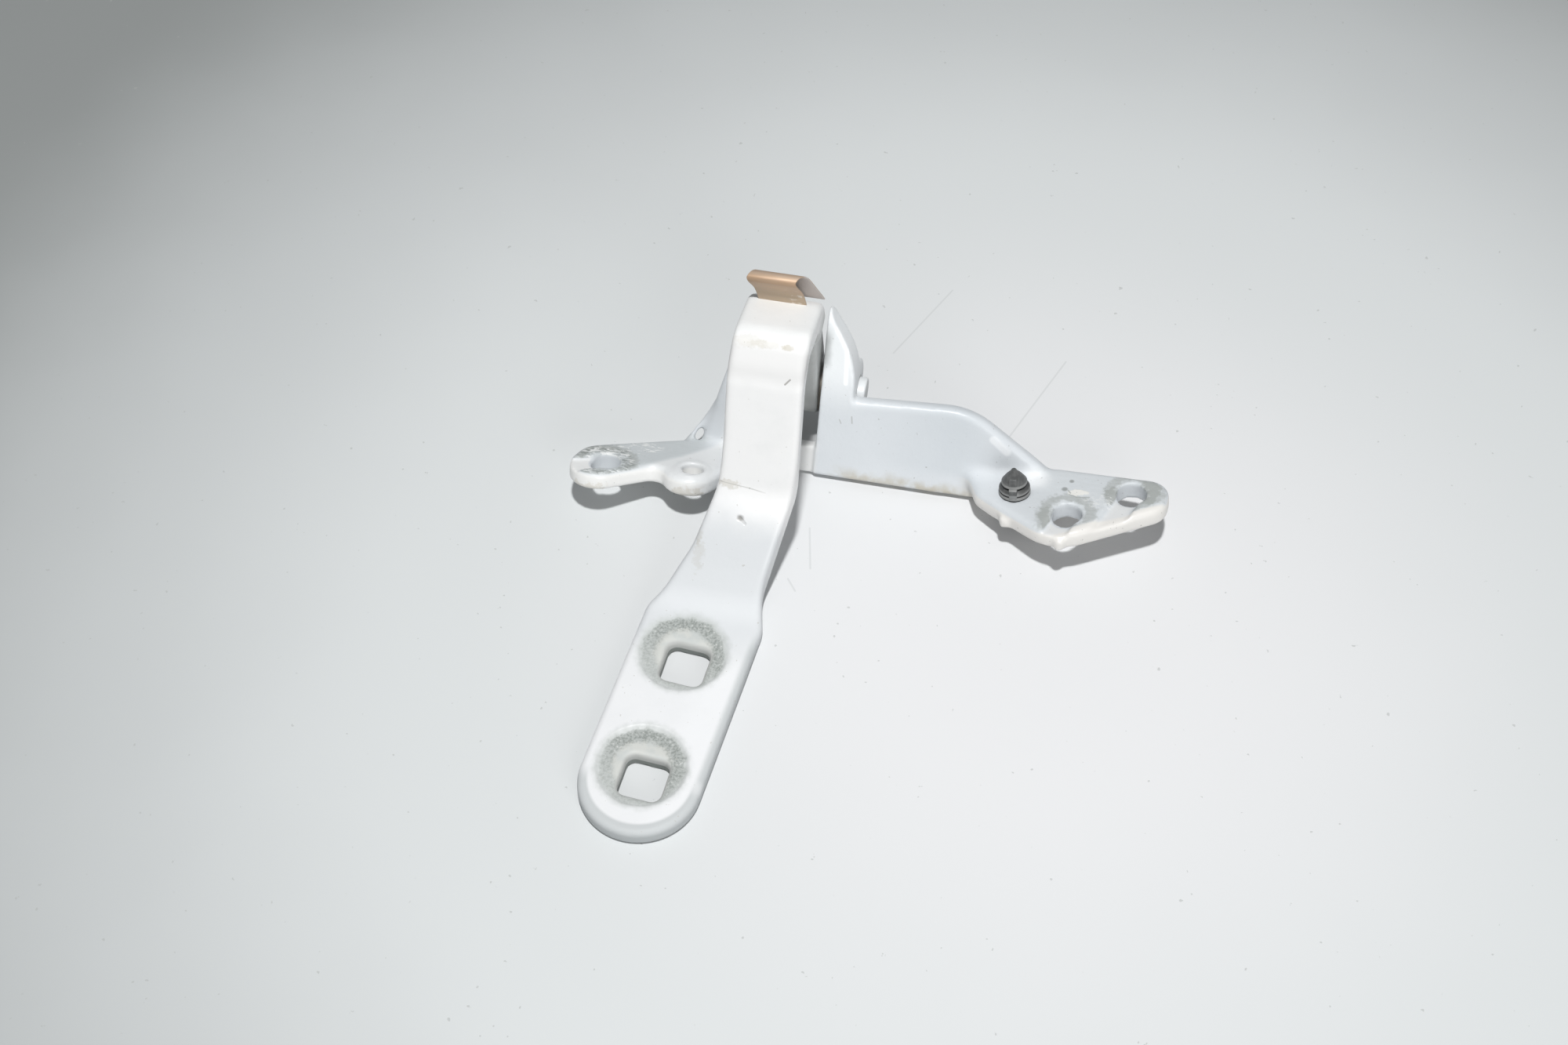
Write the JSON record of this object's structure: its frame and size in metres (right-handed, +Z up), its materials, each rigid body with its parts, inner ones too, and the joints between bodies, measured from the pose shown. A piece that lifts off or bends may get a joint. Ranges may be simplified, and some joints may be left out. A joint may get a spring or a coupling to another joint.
{
  "type": "trunk lid hinge",
  "caption": "Car trunk lid hinge: a cast body bracket and a forged gooseneck arm on one pivot pin, painted off-white.",
  "frame": {"origin": "centre of the bounding box in X and Y, at the floor the hinge rests on", "axes": "+X along the pivot axis towards the bracket's flange, +Y from the lid paddle towards the pivot, +Z up"},
  "size_m": [0.1822, 0.1682, 0.0813],
  "materials": {
    "painted_casting": "satin",
    "painted_forging": "satin",
    "plated_steel": "satin",
    "bush_bronze": "satin",
    "spring_strip": "polished",
    "black_nylon": "matte"
  },
  "bodies": {
    "bracket_body": {"bracket": "painted_casting", "pivot_pin": "plated_steel", "retaining_ring": "plated_steel", "push_plug": "black_nylon"},
    "arm_body": {"gooseneck_arm": "painted_forging", "bush_left": "bush_bronze", "bush_right": "bush_bronze", "spring_clip": "spring_strip"}
  },
  "joints": [
    {"name": "lid_pivot", "type": "hinge", "parent": "bracket_body", "child": "arm_body", "pos_m": [-0.02915, 0.07308, 0.01974], "axis": [-1, 0, 0], "range_deg": [-5, 80]}
  ]
}
